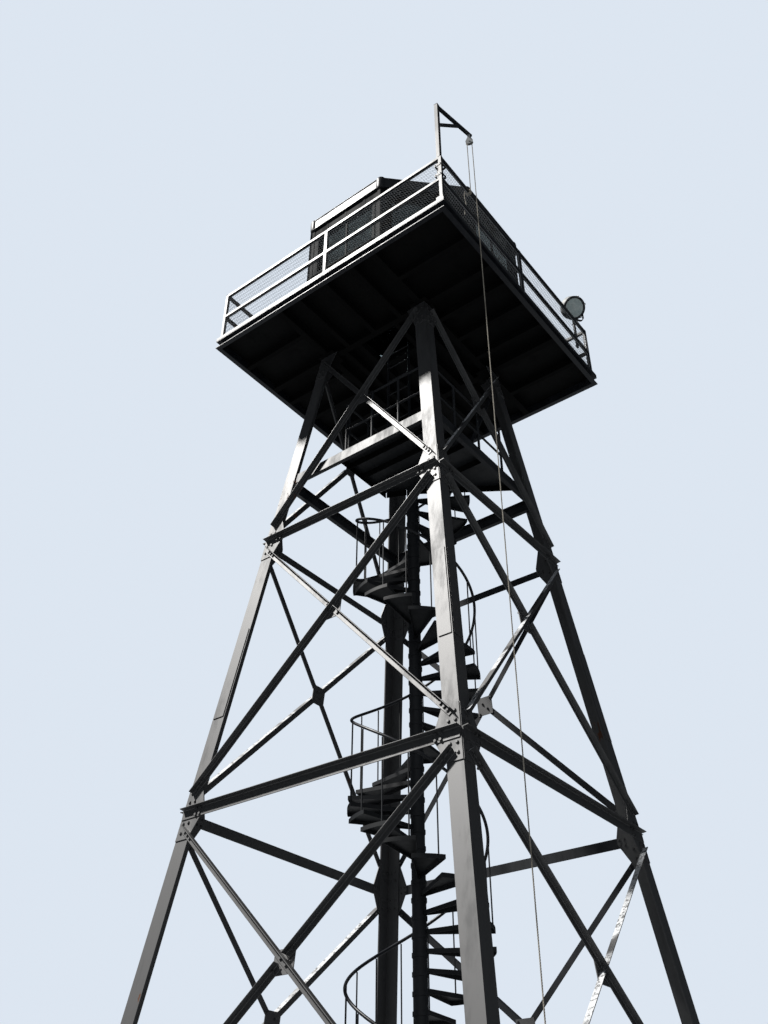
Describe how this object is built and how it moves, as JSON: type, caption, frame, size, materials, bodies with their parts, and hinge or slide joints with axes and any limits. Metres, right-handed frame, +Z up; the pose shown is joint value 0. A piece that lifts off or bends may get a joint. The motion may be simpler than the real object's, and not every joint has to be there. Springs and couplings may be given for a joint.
{
  "type": "guard tower",
  "caption": "Four-legged steel lattice guard tower with a spiral stair, a railed square platform, an octagonal glazed cabin, a hoist davit with its rope and a tilting floodlight",
  "frame": {"origin": "on the ground at the tower's centre, midway between its four feet", "axes": "+Z up, -Y the tower's front, +X its right side when seen from the front"},
  "size_m": [5.7908, 5.7908, 16.3499],
  "materials": {
    "dark_paint": "semi-gloss black-grey enamel, chalky and rust-stained in places",
    "white_paint": "weathered white gloss paint",
    "floor_plate": "painted steel plate, rust-stained on its underside",
    "wire_mesh": "galvanised wire mesh",
    "concrete": "cast concrete, weathered",
    "window_glass": "clear float glass",
    "lamp_glass": "fluted lamp glass, grey-green",
    "rope": "laid natural-fibre rope, weathered",
    "hook_steel": "forged steel, dull"
  },
  "bodies": {
    "tower": {"back_bracing": "dark_paint", "back_left_leg": "dark_paint", "back_railing": "dark_paint", "back_right_leg": "dark_paint", "base_plates": "dark_paint", "cabin_back_left_wall": "dark_paint", "cabin_back_right_wall": "dark_paint", "cabin_back_wall": "dark_paint", "cabin_door": "dark_paint", "cabin_front_left_wall": "dark_paint", "cabin_front_right_wall": "dark_paint", "cabin_front_wall": "dark_paint", "cabin_glass": "window_glass", "cabin_left_wall": "dark_paint", "cabin_right_wall": "dark_paint", "cabin_roof": "dark_paint", "cap_plates": "dark_paint", "concrete_piers": "concrete", "cross_girders": "dark_paint", "davit": "dark_paint", "davit_clamps": "dark_paint", "front_bracing": "dark_paint", "front_left_leg": "dark_paint", "front_railing": "dark_paint", "front_right_leg": "dark_paint", "gusset_plates": "dark_paint", "hatch_ladder": "dark_paint", "hatch_trimmer": "dark_paint", "hoist_rope": "rope", "lamp_bracket": "dark_paint", "landing_floor": "dark_paint", "landing_guard_rail": "dark_paint", "landing_joists": "dark_paint", "landing_ring": "dark_paint", "left_bracing": "dark_paint", "left_railing": "dark_paint", "main_girders": "dark_paint", "platform_edge_channels": "dark_paint", "platform_floor": "floor_plate", "platform_joists": "dark_paint", "pulley_block": "dark_paint", "railing_mesh": "wire_mesh", "right_bracing": "dark_paint", "right_railing": "dark_paint", "roof_fascia": "dark_paint", "rope_hook": "hook_steel", "rope_tie": "rope", "splice_plates": "dark_paint", "stair_balusters": "dark_paint", "stair_handrail": "dark_paint", "stair_pole": "dark_paint", "stair_pole_foot": "dark_paint", "stair_treads": "dark_paint"},
    "lamp_yoke": {"lamp_yoke": "dark_paint"},
    "lamp": {"lamp_housing": "white_paint", "lamp_lens": "lamp_glass"}
  },
  "joints": [
    {"name": "lamp_pan", "type": "hinge", "parent": "tower", "child": "lamp_yoke", "pos_m": [2.172, 1.95, 14.95], "axis": [0, 0, 1], "range_deg": [-120, 120]},
    {"name": "lamp_tilt", "type": "hinge", "parent": "lamp_yoke", "child": "lamp", "pos_m": [2.172, 1.95, 15.235], "axis": [0.5, 0.866, 0], "range_deg": [-60, 40]}
  ]
}
